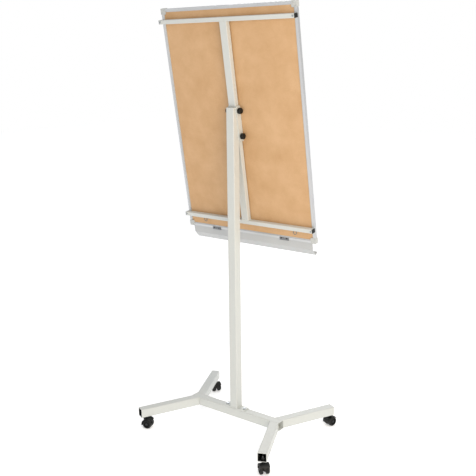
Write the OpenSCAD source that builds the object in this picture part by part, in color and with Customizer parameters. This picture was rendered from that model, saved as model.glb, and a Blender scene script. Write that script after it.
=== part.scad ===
// Mobile flipchart: a framed board on a sliding and tilting spine, carried by a square post on a base with four
// twin-wheel casters. X runs across the board, Y points to the back of the stand, Z is up and the floor is Z = 0.
// The origin is on the floor under the axis of the post.

/* [Board] */
// Width of the framed board
board_w = 704; // [600:1:860]
// Height of the framed board
board_h = 1000; // [900:1:1200]
// Angle that the board leans back
board_tilt = 9.4; // [7:0.1:14]
// Distance down the board from its top edge to the tilt pivot
pivot_drop = 434; // [380:1:480]
// Depth of the aluminium frame section
frame_d = 14; // [13:0.5:20]
// Width of the hollow box of the frame section
frame_box_w = 10; // [8:0.5:16]
// Width of the ledge inside the box that the panel sits on
frame_ledge_w = 4; // [3:0.5:8]
// Wall of the frame section
frame_wall = 1.5; // [1:0.1:2.5]
// Length that a corner cap takes from each frame section
cap_len = 24; // [18:1:40]
// Distance that a corner cap stands proud of the frame
cap_proud = 2; // [1:0.5:3]
// Thickness of the hardboard back
back_t = 3; // [2:0.5:4]
// Thickness of the steel writing sheet
sheet_t = 0.8; // [0.5:0.1:1.5]

/* [Board carrier] */
// Height of the two cross bars
bar_h = 18; // [15:1:25]
// Depth of the cross bars and the spine
bar_d = 23; // [20:1:30]
// Wall of the cross bars and the spine
bar_wall = 1.5; // [1:0.1:2.5]
// Distance from the board's top edge to the top of the upper bar
upper_bar_drop = 44.5; // [30:0.5:90]
// Distance from the board's top edge to the top of the lower bar
lower_bar_drop = 928.7; // [800:0.1:940]
// Distance from a bar's end to its screw
bar_screw_inset = 6; // [5:0.5:6]

/* [Post] */
// Outer size of the square post
post_size = 40; // [36:1:50]
// Wall of the post
post_wall = 1.5; // [1.2:0.1:2.5]
// Height of the tilt pivot above the floor
pivot_z = 1461; // [1300:1:1600]
// Distance of the tilt pivot in front of the post's axis
pivot_front = 11; // [9:0.5:13]
// Distance from the tilt pivot to the top of the post
post_above_pivot = 14; // [12:1:22]
// Length of the notch in the front wall of the post
notch_len = 205; // [190:1:260]

/* [Tilt bracket] */
// Thickness of the bracket
bracket_t = 2.5; // [2:0.5:4]
// Length of the bracket above the pivot
bracket_up = 22; // [18:1:26]
// Length of the bracket below the pivot
bracket_down = 134; // [125:1:160]
// Distance from the pivot down to the height clamp
clamp_drop = 110; // [105:1:120]
// Diameter of the clamping screws
screw_d = 8; // [6:1:10]
// Diameter of the knobs
knob_d = 26; // [22:1:32]
// Length of a knob's grip
knob_len = 13; // [10:1:18]

/* [Base] */
// Size of the beam and leg tubes
tube = 40; // [36:1:50]
// Wall of the beam and leg tubes
tube_wall = 2; // [1.5:0.1:3]
// Corner radius of the square tubes
tube_r = 3; // [2.2:0.1:5]
// Distance from the post's axis to where the legs' centre lines meet
leg_root = 220; // [160:1:300]
// Angle of the legs from the beam
leg_angle = 65; // [55:1:75]
// Length of a leg from where the centre lines meet
leg_len = 307; // [250:1:400]
// Length of beam that shows past the legs
beam_past = 0.6; // [0.2:0.2:20]
// Length of the foot plate
foot_len = 120; // [105:1:180]
// Thickness of the foot plate
foot_t = 5; // [3:0.5:8]

/* [Casters] */
// Wheel diameter
wheel_d = 44; // [36:1:60]
// Width of one wheel
wheel_w = 14.5; // [12:0.5:20]
// Distance from the swivel axis to the axle
trail = 16; // [12:0.5:20]
// Gap between the top of a caster's hood and its leg
stem_rise = 6; // [4:0.5:40]
// Distance from a leg's end to its caster stem
stem_inset = 22; // [16:1:40]
// Diameter of the caster stems
stem_d = 8; // [6:1:10]

/* [Pen tray] */
// Distance from each side of the board to the tray's end
tray_inset = 19; // [8:1:60]
// Straight drop of the tray's back below the board
tray_drop = 34; // [15:1:60]
// Angle of the tray's sloping floor, down from the board's level
tray_slope = 56; // [30:1:70]
// Length of the tray's sloping floor
tray_floor = 34; // [20:1:50]
// Length of the tray's front lip
tray_lip = 16; // [6:1:25]
// Sheet thickness of the tray
tray_t = 1.5; // [1:0.1:2.5]
// Distance from the middle of the board to a tray clip
clip_x = 190; // [120:1:260]

/* [Paper clamp] */
// Distance from each side of the board to the clamp rail's end
rail_inset = 42; // [40:1:90]
// Height of the clamp rail
rail_h = 32; // [28:1:40]
// Thickness of the clamp rail
rail_t = 8; // [7:0.5:12]
// Height of the clamp bar
flap_h = 44; // [30:1:60]
// Thickness of the clamp bar
flap_t = 4; // [3:0.5:6]
// Distance from the middle of the board to a pad hook
hook_x = 230; // [150:1:260]
// Diameter of the pegs that a pad hangs on
peg_d = 6; // [4:0.5:8]
// Free length of the pegs
peg_len = 9; // [6:1:14]

/* [Back hooks] */
// Distance from the middle of the board to a wire hook
wire_hook_x = 250; // [150:1:300]
// Diameter of the hook wire
wire_d = 3; // [2:0.5:4]
// Inside radius of the hook's curl
wire_curl_r = 6; // [5:1:12]

/* [Clearances] */
// Radial clearance of a turning pin
running = 0.05; // [0.02:0.01:0.1]
// Clearance between flat sliding faces
sliding = 0.5; // [0.3:0.1:0.8]
// Gap between parts that turn past each other
turning_gap = 0.3; // [0.2:0.1:0.6]
// Clearance of an insert in its tube
insert_gap = 0.2; // [0.1:0.1:0.4]

/* [Hidden] */
$fn = 48;
CORNERS = ["front_right", "front_left", "rear_right", "rear_left"];
EPS = 0.01;

// Directions of the four legs, and the resting headings of their casters, in the order of CORNERS
LEG_SIGNS = [[1, -1], [-1, -1], [1, 1], [-1, 1]];
CASTER_HEADINGS = [152, -105, 200, 140];

// Casters
wheel_r = wheel_d / 2;
hood_gap = 1.4;
hood_t = 2;
hood_r = wheel_r + hood_gap + hood_t;
web_t = stem_d + 4;
wheel_side_gap = 1;
axle_r = 3;
hood_w = 2 * (wheel_w + wheel_side_gap) + web_t;
hood_top = wheel_r + hood_r + 2.6;
wheel_hub_w = wheel_w - 2.5;
wheel_edge_r = 6;

// Heights of the base
ride_h = hood_top + stem_rise;
base_top = ride_h + tube;
post_bottom = base_top + foot_t;
post_top = pivot_z + post_above_pivot;
// Where the outer edge of a leg meets the side of the beam
leg_edge_x = leg_root + tube / 2 * ((1 + cos(leg_angle)) / tan(leg_angle) + sin(leg_angle));
beam_half = leg_edge_x + beam_past;
foot_d = max(tube, post_size);
foot_bolt_r = 4;
foot_bolt_x = (post_size + foot_len) / 4 + 2 * foot_bolt_r;

// The board's own frame has its origin at the tilt pivot, Y to the back and Z up the board
board_back_y = -bar_d / 2;
board_front_y = board_back_y - frame_d;
board_top_z = pivot_drop;
board_bottom_z = board_top_z - board_h;
upper_bar_z = board_top_z - upper_bar_drop - bar_h / 2;
lower_bar_z = board_top_z - lower_bar_drop - bar_h / 2;
panel_recess = 4;
frame_lip_t = 1;
core_t = frame_d - panel_recess - back_t - sheet_t - frame_lip_t;
panel_gap = 0.3;
panel_w = board_w - 2 * (frame_box_w + panel_gap);
panel_h = board_h - 2 * (frame_box_w + panel_gap);
panel_mid_z = board_top_z - board_h / 2;
spine_w = post_size - 2 * post_wall - 2 * sliding;

// The bracket's cheeks run outside the post
cheek_x = post_size / 2 + turning_gap;
cheek_out = cheek_x + bracket_t;
web_y = board_back_y - 0.4 - bracket_t;
cheek_back = bar_d / 2 + 1.5;
knob_hub_len = 3;
knob_hub_gap = 0.4;

// Paper clamp
rail_len = board_w - 2 * rail_inset;
rail_top_z = board_top_z - 1;
clip_t = 3;
rail_mid_z = rail_top_z - rail_h / 2;
rail_front_y = board_front_y - rail_t;
groove_h = 10;
groove_d = 4;
flap_pin_r = 2;
flap_gap = 0.3;
hinge_z = rail_top_z - rail_h - 6;
hinge_y = board_front_y - 6;
end_block_w = 12;

// ---------------------------------------------------------------------------------------------- shapes

module rounded(w, h, r) {
    square([w - 2 * r, h], center = true);
    square([w, h - 2 * r], center = true);
    for (sx = [-1, 1], sy = [-1, 1])
        translate([sx * (w / 2 - r), sy * (h / 2 - r)]) circle(r);
}

// Rectangular tube along Z, from z = 0
module tube_z(w, h, len, wall, r) {
    linear_extrude(len) difference() {
        rounded(w, h, r);
        rounded(w - 2 * wall, h - 2 * wall, max(r - wall, 0.5));
    }
}

// Tube along X, centred, with its height along Z
module tube_x(len, h, d, wall, r) {
    translate([-len / 2, 0, 0]) rotate([90, 0, 90]) tube_z(d, h, len, wall, r);
}

// Cylinder along X, from x = 0
module rod_x(r, len) {
    rotate([0, 90, 0]) cylinder(r = r, h = len);
}

// Places children in the board's own frame
module on_board() {
    translate([0, -pivot_front, pivot_z]) rotate([-board_tilt, 0, 0]) children();
}

module hex_prism(across_flats, h) {
    cylinder(r = across_flats / sqrt(3), h = h, $fn = 6);
}

// Pan head screw pointing along -Z, with the underside of its head at z = 0
module pan_screw(shank_r, head_r, head_h, len) {
    difference() {
        union() {
            cylinder(r = head_r, h = head_h);
            translate([0, 0, -len]) cylinder(r = shank_r, h = len + EPS);
        }
        for (a = [0, 90]) rotate(a) translate([-head_r * 0.6, -head_r * 0.12, head_h * 0.5])
            cube([head_r * 1.2, head_r * 0.24, head_h]);
    }
}

// ---------------------------------------------------------------------------------------------- base

module base_beam() {
    color("gainsboro") difference() {
        translate([0, 0, ride_h + tube / 2]) tube_x(2 * beam_half, tube, tube, tube_wall, tube_r);
        for (sx = [-1, 1]) translate([sx * foot_bolt_x, 0, base_top - 2 * tube_wall])
            cylinder(r = foot_bolt_r + insert_gap, h = 3 * tube_wall);
    }
}

module at_leg(sign) {
    translate([sign[0] * leg_root, 0, 0]) rotate(atan2(sign[1] * sin(leg_angle), sign[0] * cos(leg_angle)))
        children();
}

module leg(sign) {
    color("gainsboro") difference() {
        at_leg(sign) difference() {
            translate([leg_len / 2, 0, ride_h + tube / 2]) tube_x(leg_len, tube, tube, tube_wall, tube_r);
            translate([leg_len - stem_inset, 0, ride_h - tube_wall])
                cylinder(r = stem_d / 2 + insert_gap, h = 3 * tube_wall);
        }
        // The inner end is cut to lie flat against the side of the beam
        translate([sign[0] * leg_root - 2 * tube, sign[1] > 0 ? tube / 2 - 3 * tube : -tube / 2, ride_h - 1])
            cube([4 * tube, 3 * tube, tube + 2]);
    }
}

module foot_plate() {
    color("gainsboro") difference() {
        translate([0, 0, base_top]) linear_extrude(foot_t) rounded(foot_len, foot_d, tube_r);
        for (sx = [-1, 1]) translate([sx * foot_bolt_x, 0, base_top - 1])
            cylinder(r = foot_bolt_r + insert_gap, h = foot_t + 2);
    }
}

module foot_bolts() {
    color("dimgray") for (sx = [-1, 1]) translate([sx * foot_bolt_x, 0, 0]) {
        translate([0, 0, post_bottom]) cylinder(r = foot_bolt_r + 4, h = 1.6);
        translate([0, 0, post_bottom + 1.6 - EPS]) cylinder(r = foot_bolt_r + 2.5, h = 3);
        translate([0, 0, base_top - tube_wall - 10]) cylinder(r = foot_bolt_r, h = foot_t + tube_wall + 11);
    }
}

module post() {
    color("whitesmoke") difference() {
        translate([0, 0, post_bottom]) tube_z(post_size, post_size, post_top - post_bottom, post_wall, tube_r);
        // The front wall is open at the top, so that the spine can lie between the side walls
        translate([-post_size / 2 + post_wall, -post_size / 2 - 1, post_top - notch_len])
            cube([post_size - 2 * post_wall, post_wall + tube_r + 1, notch_len + 1]);
        translate([-post_size, -pivot_front, pivot_z]) rod_x(screw_d / 2 + EPS, 2 * post_size);
    }
}

module at_stems() {
    for (sign = LEG_SIGNS) at_leg(sign) translate([leg_len - stem_inset, 0, 0]) children();
}

module caster_stems() {
    color("silver") at_stems() {
        translate([0, 0, hood_top + turning_gap]) cylinder(r = stem_d / 2 + 5, h = ride_h - hood_top - turning_gap);
        translate([0, 0, wheel_r + 14]) cylinder(r = stem_d / 2, h = ride_h + tube_wall + 15 - wheel_r - 14);
    }
}

module stem_nuts() {
    color("silver") at_stems() translate([0, 0, ride_h + tube_wall]) difference() {
        hex_prism(13, 6.5);
        translate([0, 0, -1]) cylinder(r = stem_d / 2 + EPS, h = 9);
    }
}

// ---------------------------------------------------------------------------------------------- tilt bracket

// Side outline of a cheek in the Y, Z plane of the board's frame
module cheek_outline() {
    r = 8;
    translate([(web_y + cheek_back) / 2, (bracket_up - bracket_down) / 2])
        rounded(cheek_back - web_y, bracket_up + bracket_down, r);
    // The front edge below the pivot stays square to meet the web
    translate([web_y, -bracket_down]) square([r, bracket_down - 25]);
}

module tilt_bracket() {
    color("whitesmoke") on_board() difference() {
        union() {
            for (x = [-cheek_out, cheek_x]) translate([x, 0, 0])
                rotate([90, 0, 90]) linear_extrude(bracket_t) cheek_outline();
            translate([-cheek_out, web_y, -bracket_down]) cube([2 * cheek_out, bracket_t, bracket_down - 25]);
        }
        translate([-post_size, 0, 0]) rod_x(screw_d / 2 + running, 2 * post_size);
        translate([-post_size, 0, -clamp_drop]) rod_x(screw_d / 2 + running, post_size);
    }
}

module glide_strips() {
    strip_t = cheek_x - spine_w / 2 - 0.2;
    color("white") on_board() for (x = [-cheek_x, cheek_x - strip_t])
        translate([x, board_back_y + 1, -bracket_down + 4]) cube([strip_t, 5.5, bracket_down - 64]);
}

// Rod of the clamping screws on the -X side, from x = -start into the knob
module clamping_rod(start) {
    translate([-(cheek_out + knob_hub_gap + knob_hub_len + 6), 0, 0])
        rod_x(screw_d / 2, cheek_out + knob_hub_gap + knob_hub_len + 6 - start);
}

// Fluted knob on the outside of the -X cheek, bored for a rod with the given clearance
module knob(clearance) {
    hub_x = cheek_out + knob_hub_gap;
    total = knob_hub_len + knob_len;
    rotate([0, 0, 180]) translate([hub_x, 0, 0]) rotate([0, 90, 0]) difference() {
        union() {
            cylinder(r = screw_d / 2 + 4, h = knob_hub_len + EPS);
            translate([0, 0, knob_hub_len]) cylinder(r = knob_d / 2, h = knob_len - 2);
            translate([0, 0, total - 2 - EPS]) cylinder(r1 = knob_d / 2, r2 = knob_d / 2 - 2, h = 2 + EPS);
        }
        for (a = [0:30:330]) rotate(a) translate([knob_d / 2 + 1, 0, knob_hub_len - 1])
            cylinder(r = 2, h = knob_len + 2, $fn = 24);
        translate([0, 0, -1]) cylinder(r = screw_d / 2 + clearance, h = 7.5 + knob_hub_len);
    }
}

// Studs set in the side walls of the post, which the bracket tilts on
module pivot_studs() {
    color("silver") translate([0, -pivot_front, pivot_z]) for (m = [0, 1]) mirror([m, 0, 0])
        clamping_rod(post_size / 2 - post_wall + 0.1);
}

module pivot_knob_left() {
    color("black") on_board() knob(running);
}

module pivot_knob_right() {
    color("black") on_board() mirror([1, 0, 0]) knob(running);
}

module clamp_screw() {
    color("silver") on_board() translate([0, 0, -clamp_drop]) clamping_rod(spine_w / 2 + 0.1);
}

module clamp_knob() {
    color("black") on_board() translate([0, 0, -clamp_drop]) knob(EPS);
}

// ---------------------------------------------------------------------------------------------- board carrier

module spine() {
    bottom = lower_bar_z + bar_h / 2;
    top = upper_bar_z - bar_h / 2;
    color("whitesmoke") on_board() translate([0, 0, bottom]) tube_z(spine_w, bar_d, top - bottom, bar_wall, 2);
}

module bar(z) {
    color("whitesmoke") on_board() difference() {
        translate([0, 0, z]) tube_x(board_w, bar_h, bar_d, bar_wall, 2);
        for (sx = [-1, 1]) translate([sx * (board_w / 2 - bar_screw_inset), -bar_d, z]) rotate([-90, 0, 0])
            cylinder(r = 2 + insert_gap, h = 2 * bar_d);
    }
}

module bar_plugs() {
    flange = 2;
    inset = bar_wall + insert_gap;
    color("black") on_board() for (z = [upper_bar_z, lower_bar_z], sx = [-1, 1])
        translate([0, 0, z]) mirror([sx < 0 ? 1 : 0, 0, 0]) translate([board_w / 2, 0, 0]) rotate([90, 0, 90]) {
            linear_extrude(flange) rounded(bar_d, bar_h, 2);
            translate([0, 0, -bar_screw_inset + 3]) linear_extrude(bar_screw_inset - 3 + EPS)
                rounded(bar_d - 2 * inset, bar_h - 2 * inset, 1);
        }
}

module bar_screws() {
    color("silver") on_board() for (z = [upper_bar_z, lower_bar_z], sx = [-1, 1])
        translate([sx * (board_w / 2 - bar_screw_inset), bar_d / 2, z]) rotate([-90, 0, 0])
            pan_screw(2, 4, 2.4, bar_d + frame_wall + 3);
}

// ---------------------------------------------------------------------------------------------- framed board

// Frame section with its outer side on x = 0 and its back on y = 0, looking along the rail
module frame_section() {
    lip = frame_box_w + frame_ledge_w;
    difference() {
        translate([0, -frame_d]) square([frame_box_w, frame_d]);
        translate([frame_wall, -frame_d + frame_wall])
            square([frame_box_w - 2 * frame_wall, frame_d - 2 * frame_wall]);
    }
    translate([frame_box_w - frame_wall, -panel_recess]) square([frame_ledge_w + frame_wall, frame_wall]);
    translate([0, -frame_d]) square([lip, frame_lip_t]);
}

// Rail of the given length along Z, with its outer side towards -X
module frame_rail(len) {
    translate([0, 0, -len / 2]) linear_extrude(len) frame_section();
}

module frame_side(sx) {
    color("silver") on_board() difference() {
        translate([sx * board_w / 2, board_back_y, panel_mid_z]) mirror([sx > 0 ? 1 : 0, 0, 0])
            frame_rail(board_h - 2 * cap_len);
        for (z = [upper_bar_z, lower_bar_z])
            translate([sx * (board_w / 2 - bar_screw_inset), board_back_y + 1, z]) rotate([90, 0, 0])
                cylinder(r = 2 + insert_gap, h = frame_wall + 1.5);
    }
}

module frame_top() {
    color("silver") on_board() difference() {
        translate([0, board_back_y, board_top_z]) rotate([0, 90, 0]) frame_rail(board_w - 2 * cap_len);
        at_rail_screws(board_front_y - 0.5) cylinder(r = 2 + insert_gap, h = frame_wall + 1);
    }
}

module frame_bottom() {
    color("silver") on_board() difference() {
        translate([0, board_back_y, board_bottom_z]) rotate([0, -90, 0]) frame_rail(board_w - 2 * cap_len);
        at_clip_screws(board_back_y - frame_wall - 0.5) cylinder(r = 1.5 + insert_gap, h = frame_wall + 1);
    }
}

// Corner cap with the board's corner at the origin and the board towards +X and +Z
module corner_cap() {
    inset = frame_wall + insert_gap;
    difference() {
        translate([cap_len / 2 - cap_proud / 2, cap_proud / 2, cap_len / 2 - cap_proud / 2]) rotate([90, 0, 0])
            linear_extrude(frame_d + cap_proud * 1.5) rounded(cap_len + cap_proud, cap_len + cap_proud, 3);
        translate([frame_box_w, -frame_d + frame_lip_t - EPS, frame_box_w])
            cube([cap_len, frame_d - frame_lip_t - panel_recess + 2 * EPS, cap_len]);
    }
    for (m = [0, 1]) mirror([m, 0, -m]) translate([inset, -frame_d + inset, cap_len - 1])
        cube([frame_box_w - 2 * inset, frame_d - 2 * inset, 15]);
}

module corner_caps() {
    color("lightgray") on_board() for (sx = [-1, 1], sz = [-1, 1])
        translate([sx * board_w / 2, board_back_y, panel_mid_z + sz * board_h / 2])
            mirror([sx > 0 ? 1 : 0, 0, 0]) mirror([0, 0, sz > 0 ? 1 : 0]) corner_cap();
}

module panel(back, thickness) {
    translate([-panel_w / 2, board_back_y - back - thickness, panel_mid_z - panel_h / 2])
        cube([panel_w, thickness, panel_h]);
}

module back_panel() {
    color("tan") on_board() panel(panel_recess, back_t);
}

module core_panel() {
    color("burlywood") on_board() panel(panel_recess + back_t, core_t);
}

module writing_sheet() {
    color("white") on_board() panel(panel_recess + back_t + core_t, sheet_t);
}

// ---------------------------------------------------------------------------------------------- paper clamp

module clamp_rail() {
    color("silver") on_board() difference() {
        translate([-rail_len / 2, rail_front_y, rail_top_z - rail_h]) cube([rail_len, rail_t, rail_h]);
        // T-slot that the pad hooks slide in
        translate([-rail_len / 2 - 1, rail_front_y - 1, rail_mid_z - groove_h / 2 + 2.5])
            cube([rail_len + 2, 3, groove_h - 5]);
        translate([-rail_len / 2 - 1, rail_front_y + 1.5, rail_mid_z - groove_h / 2])
            cube([rail_len + 2, groove_d, groove_h]);
        at_rail_screws(rail_front_y - 0.5) cylinder(r = 2 + insert_gap, h = rail_t + 1);
    }
}

// Places children at the rail's screws, pointing along +Y from the given depth
module at_rail_screws(y) {
    for (sx = [-1, 1]) translate([sx * (rail_len / 2 - 40), y, rail_top_z - 5]) rotate([-90, 0, 0]) children();
}

module rail_screws() {
    color("silver") on_board() at_rail_screws(rail_front_y) mirror([0, 0, 1])
        pan_screw(2, 3.8, 2, rail_t + frame_wall + 3);
}

module clamp_end_blocks() {
    color("black") on_board() for (sx = [-1, 1]) mirror([sx < 0 ? 1 : 0, 0, 0]) difference() {
        translate([rail_len / 2, hinge_y - 6, hinge_z - 6]) cube([end_block_w, board_front_y - hinge_y + 6, rail_h + 12]);
        translate([rail_len / 2 - 1, hinge_y, hinge_z]) rod_x(flap_pin_r + EPS, end_block_w - 2);
    }
}

module clamp_pins() {
    color("silver") on_board() for (sx = [-1, 1]) mirror([sx < 0 ? 1 : 0, 0, 0])
        translate([rail_len / 2 - 8, hinge_y, hinge_z]) rod_x(flap_pin_r, 8 + end_block_w - 3);
}

module clamp_bar() {
    len = rail_len - 2 * turning_gap;
    color("silver") on_board() difference() {
        union() {
            translate([-len / 2, hinge_y, hinge_z]) rod_x(4, len);
            translate([-len / 2, hinge_y - 4, hinge_z - flap_h]) cube([len, flap_t, flap_h]);
        }
        for (sx = [-1, 1]) mirror([sx < 0 ? 1 : 0, 0, 0])
            translate([rail_len / 2 - 10, hinge_y, hinge_z]) rod_x(flap_pin_r + running, 20);
    }
}

module clamp_grip() {
    depth = board_front_y + frame_lip_t - flap_gap - (hinge_y - 4 + flap_t);
    color("dimgray") on_board() translate([-rail_len / 2 + 4, hinge_y - 4 + flap_t, hinge_z - flap_h + 1])
        cube([rail_len - 8, depth, 8]);
}

module pad_hook(sx) {
    color("black") on_board() translate([sx * hook_x, 0, rail_mid_z]) {
        translate([-9, rail_front_y + 1.5 + turning_gap, -groove_h / 2 + turning_gap])
            cube([18, groove_d - 2 * turning_gap, groove_h - 2 * turning_gap]);
        translate([-7, rail_front_y - 2, -2.5 + turning_gap]) cube([14, 4, 5 - 2 * turning_gap]);
        translate([-9, rail_front_y - 3, -8]) cube([18, 3 - turning_gap, 14.5]);
        translate([0, rail_front_y - 3 + EPS, 0]) rotate([90, 0, 0]) cylinder(r = peg_d / 2, h = peg_len);
    }
}

// ---------------------------------------------------------------------------------------------- tray and hooks

// Profile of the tray in the Y, Z plane: back, sloping floor and lip, with a flange that lies under the frame
module tray_profile() {
    down = [-cos(tray_slope), -sin(tray_slope)];
    out = [-sin(tray_slope), cos(tray_slope)];
    top = [board_back_y - 5, board_bottom_z];
    bend = top - [0, tray_drop];
    fold = bend + tray_floor * down;
    edge = fold + tray_lip * out;
    // The sheet's thickness lies on the outer side, with mitred bends
    bend_out = ([1, 0] - out) * tray_t / (1 - out[0]);
    polygon([
        top, bend, fold, edge,
        edge + tray_t * down, fold + tray_t * (down - out), bend + bend_out, top + [tray_t, -tray_t],
        top + [5, -tray_t], top + [5, 0]
    ]);
}

module pen_tray() {
    tray_len = board_w - 2 * tray_inset;
    color("silver") on_board() difference() {
        translate([-tray_len / 2, 0, 0]) rotate([90, 0, 90]) linear_extrude(tray_len) tray_profile();
        // The ends are notched to clear the corner caps
        for (x = [-board_w / 2, board_w / 2 - cap_len - turning_gap])
            translate([x, board_back_y - frame_d, board_bottom_z - cap_proud - turning_gap])
                cube([cap_len + turning_gap, frame_d + 2, cap_proud + 1]);
    }
}

module at_clip_screws(y) {
    for (sx = [-1, 1], dx = [-14, 14])
        translate([sx * clip_x + dx, y, board_bottom_z + 3.5]) rotate([-90, 0, 0]) children();
}

// Clips on the back of the lower frame rail, with a lip that holds up the tray's flange
module tray_clips() {
    lip = tray_t + 3.5;
    color("dimgray") on_board() difference() {
        for (sx = [-1, 1]) translate([sx * clip_x - 23, board_back_y, board_bottom_z - lip]) {
            cube([46, clip_t, lip + 6.5]);
            translate([0, -2.5, 0]) cube([46, 2.5 + EPS, lip - tray_t]);
        }
        at_clip_screws(board_back_y - 1) cylinder(r = 1.5 + insert_gap, h = clip_t + 2);
    }
}

module tray_screws() {
    color("black") on_board() at_clip_screws(board_back_y + clip_t)
        pan_screw(1.5, 2.7, 1.6, clip_t + frame_wall + 3);
}

// Bent wire hook that hangs under the lower bar
module wire_hook() {
    r = wire_curl_r + wire_d / 2;
    drop = 12;
    translate([0, 0, -drop]) cylinder(r = wire_d / 2, h = drop);
    translate([-r, 0, -drop]) rotate([90, 180, 0]) rotate_extrude(angle = 180) translate([r, 0]) circle(wire_d / 2);
    translate([-2 * r, 0, -drop]) cylinder(r = wire_d / 2, h = 5);
    translate([0, 0, -1.2]) cylinder(r = 5, h = 1.2);
}

module wire_hooks() {
    color("gray") on_board() for (sx = [-1, 1])
        translate([sx * wire_hook_x, 0, lower_bar_z - bar_h / 2]) wire_hook();
}

// ---------------------------------------------------------------------------------------------- casters

module at_caster(i) {
    at_leg(LEG_SIGNS[i]) translate([leg_len - stem_inset, 0, 0])
        rotate(CASTER_HEADINGS[i] - atan2(LEG_SIGNS[i][1] * sin(leg_angle), LEG_SIGNS[i][0] * cos(leg_angle)))
            children();
}

module axle_disc(r, w) {
    translate([trail, 0, wheel_r]) rotate([90, 0, 0]) cylinder(r = r, h = w, center = true);
}

// Wedge below the hood's edges, seen from the side of the wheel
module hood_cutter(w) {
    far = 2 * hood_r;
    translate([trail, 0, wheel_r]) rotate([90, 0, 0]) linear_extrude(w, center = true)
        polygon(concat([[0, 0]], [for (a = [195:20:395]) far * [cos(a), sin(a)]]));
}

module caster_hood(i) {
    color("black") at_caster(i) difference() {
        union() {
            difference() {
                axle_disc(hood_r, hood_w);
                axle_disc(hood_r - hood_t, hood_w + 2);
                hood_cutter(hood_w + 4);
            }
            difference() {
                axle_disc(hood_r - 0.5, web_t);
                translate([-hood_r, -web_t, -hood_r]) cube([3 * hood_r, 2 * web_t, hood_r + wheel_r]);
            }
            axle_disc(axle_r + 4, web_t);
            translate([0, 0, wheel_r + 12]) cylinder(r = web_t / 2, h = hood_top - wheel_r - 12);
            translate([0, 0, hood_top - 5]) cylinder(r1 = web_t / 2 + 2, r2 = web_t / 2 + 5, h = 5);
        }
        translate([0, 0, wheel_r + 13]) cylinder(r = stem_d / 2 + running, h = hood_top);
        axle_disc(axle_r + EPS, hood_w + 2);
    }
}

// Axle with a push-on cap at each end
module caster_axle(i) {
    cap_y = web_t / 2 + wheel_side_gap + wheel_hub_w + turning_gap;
    color("silver") at_caster(i) {
        axle_disc(axle_r, 2 * cap_y);
        for (side = [-1, 1]) translate([0, side * (cap_y + 0.6 - EPS), 0]) axle_disc(axle_r + 2, 1.2);
    }
}

// Wheel as a turned body, with its inner face on z = 0 and a rounded outer shoulder
module wheel_body() {
    shoulder = [for (a = [0:15:90])
        [wheel_r - wheel_edge_r * (1 - cos(a)), wheel_w - wheel_edge_r * (1 - sin(a))]];
    rim_r = wheel_r - wheel_edge_r - 2;
    rotate_extrude($fn = 72) polygon(concat(
        [[axle_r + running, 0], [wheel_r - 2, 0], [wheel_r, 2]],
        shoulder,
        [[rim_r, wheel_w], [rim_r, wheel_w - 5], [8, wheel_w - 5.5], [8, wheel_hub_w],
            [axle_r + running, wheel_hub_w]]
    ));
}

module wheel(i, side) {
    color("black") at_caster(i) translate([trail, side * (web_t / 2 + wheel_side_gap), wheel_r])
        rotate([-90 * side, 0, 0]) wheel_body();
}

// ---------------------------------------------------------------------------------------------- nodes

base_beam();
leg(LEG_SIGNS[0]);  // leg_front_right
leg(LEG_SIGNS[1]);  // leg_front_left
leg(LEG_SIGNS[2]);  // leg_rear_right
leg(LEG_SIGNS[3]);  // leg_rear_left
foot_plate();
foot_bolts();
post();
pivot_studs();
caster_stems();
stem_nuts();
tilt_bracket();
glide_strips();
pivot_knob_right();
pivot_knob_left();
clamp_screw();
clamp_knob();
spine();
bar(upper_bar_z);  // upper_bar
bar(lower_bar_z);  // lower_bar
bar_plugs();
bar_screws();
frame_top();
frame_bottom();
frame_side(1);  // frame_right
frame_side(-1);  // frame_left
corner_caps();
back_panel();
core_panel();
writing_sheet();
clamp_rail();
rail_screws();
clamp_end_blocks();
clamp_pins();
clamp_bar();
clamp_grip();
pad_hook(1);  // pad_hook_right
pad_hook(-1);  // pad_hook_left
pen_tray();
tray_clips();
tray_screws();
wire_hooks();
for (i = [0:3]) caster_hood(i);
for (i = [0:3]) caster_axle(i);
for (i = [0:3]) wheel(i, 1);
for (i = [0:3]) wheel(i, -1);
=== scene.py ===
"""Looks of a mobile flipchart stand.

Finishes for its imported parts, small detail added to them, and a plain studio.
"""

import logging
import math
from dataclasses import dataclass, field
from enum import Enum

import bpy
from mathutils import Matrix, Vector


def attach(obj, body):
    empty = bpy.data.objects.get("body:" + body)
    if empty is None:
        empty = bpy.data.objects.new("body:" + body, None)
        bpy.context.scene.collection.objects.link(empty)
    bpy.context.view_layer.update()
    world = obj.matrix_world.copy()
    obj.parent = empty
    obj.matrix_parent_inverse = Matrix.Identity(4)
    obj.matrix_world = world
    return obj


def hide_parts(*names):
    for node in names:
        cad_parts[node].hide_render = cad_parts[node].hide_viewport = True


MM = 0.001
LOG = logging.getLogger("flipchart_stand")

Tree = bpy.types.NodeTree
Socket = bpy.types.NodeSocket

# Angle that the board and its frame lean back
LEAN_DEG = 9.4
# Part of a noise's range that holds nearly all of it
NOISE_SPAN = (0.3, 0.7)
COAT_ROUGHNESS = 0.12
SENSOR_MM = 36.0

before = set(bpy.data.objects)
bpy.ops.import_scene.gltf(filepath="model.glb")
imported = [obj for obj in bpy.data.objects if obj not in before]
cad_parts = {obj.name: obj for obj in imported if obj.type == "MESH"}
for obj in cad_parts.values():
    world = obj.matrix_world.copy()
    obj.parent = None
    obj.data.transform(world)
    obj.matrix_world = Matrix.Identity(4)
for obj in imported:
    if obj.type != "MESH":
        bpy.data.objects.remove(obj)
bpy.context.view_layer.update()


# ------------------------------------------------------------------------ shared tools


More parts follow.
